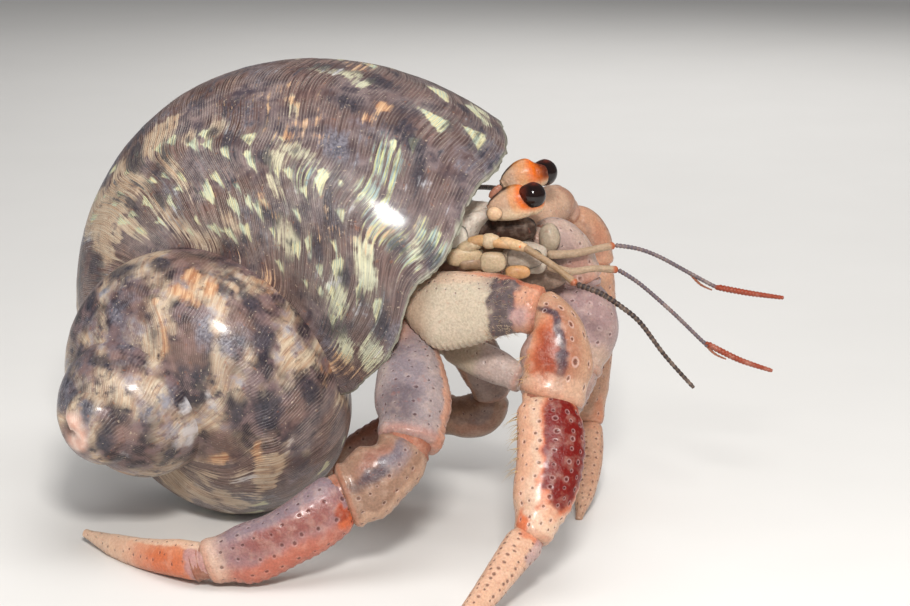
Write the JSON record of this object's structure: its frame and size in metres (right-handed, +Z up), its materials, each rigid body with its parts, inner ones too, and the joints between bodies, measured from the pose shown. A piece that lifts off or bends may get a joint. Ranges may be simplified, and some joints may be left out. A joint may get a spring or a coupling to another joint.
{
  "type": "hermit crab model",
  "caption": "Life-size still model of a land hermit crab walking in a turban shell, with purple and orange legs.",
  "frame": {"origin": "on the floor, under the middle of the whole model's bounding box", "axes": "+X the way the crab faces, +Y its left, +Z up"},
  "size_m": [0.0952, 0.092, 0.0603],
  "materials": {
    "shell": "semi-gloss, mottled seashell",
    "body": "pale waxy carapace",
    "abdomen": "soft skin",
    "legs": "pitted, orange to purple",
    "claws": "purple with pale pits",
    "eyes": "glossy black-brown",
    "feelers": "ringed brown and orange"
  },
  "bodies": {
    "root": {"abdomen": "abdomen", "antenna_base_left": "feelers", "antenna_base_right": "feelers", "antenna_stalk_left": "feelers", "antenna_stalk_right": "feelers", "antenna_whip_left": "feelers", "antenna_whip_right": "feelers", "antennule_base_left": "feelers", "antennule_base_right": "feelers", "antennule_stalk_left": "feelers", "antennule_stalk_right": "feelers", "antennule_whip_left": "feelers", "antennule_whip_right": "feelers", "claw_left_carpus": "claws", "claw_left_finger": "claws", "claw_left_merus": "claws", "claw_left_palm": "claws", "claw_right_carpus": "claws", "claw_right_finger": "claws", "claw_right_merus": "claws", "claw_right_palm": "claws", "cornea_left": "eyes", "cornea_right": "eyes", "eyestalk_left": "body", "eyestalk_right": "body", "leg2_left_carpus": "legs", "leg2_left_dactyl": "legs", "leg2_left_merus": "legs", "leg2_left_propodus": "legs", "leg2_right_carpus": "legs", "leg2_right_dactyl": "legs", "leg2_right_merus": "legs", "leg2_right_propodus": "legs", "leg3_left_carpus": "legs", "leg3_left_dactyl": "legs", "leg3_left_merus": "legs", "leg3_left_propodus": "legs", "leg3_right_carpus": "legs", "leg3_right_dactyl": "legs", "leg3_right_merus": "legs", "leg3_right_propodus": "legs", "maxilliped_left": "body", "maxilliped_right": "body", "shell": "shell", "shield": "body", "thorax": "body"}
  },
  "joints": []
}
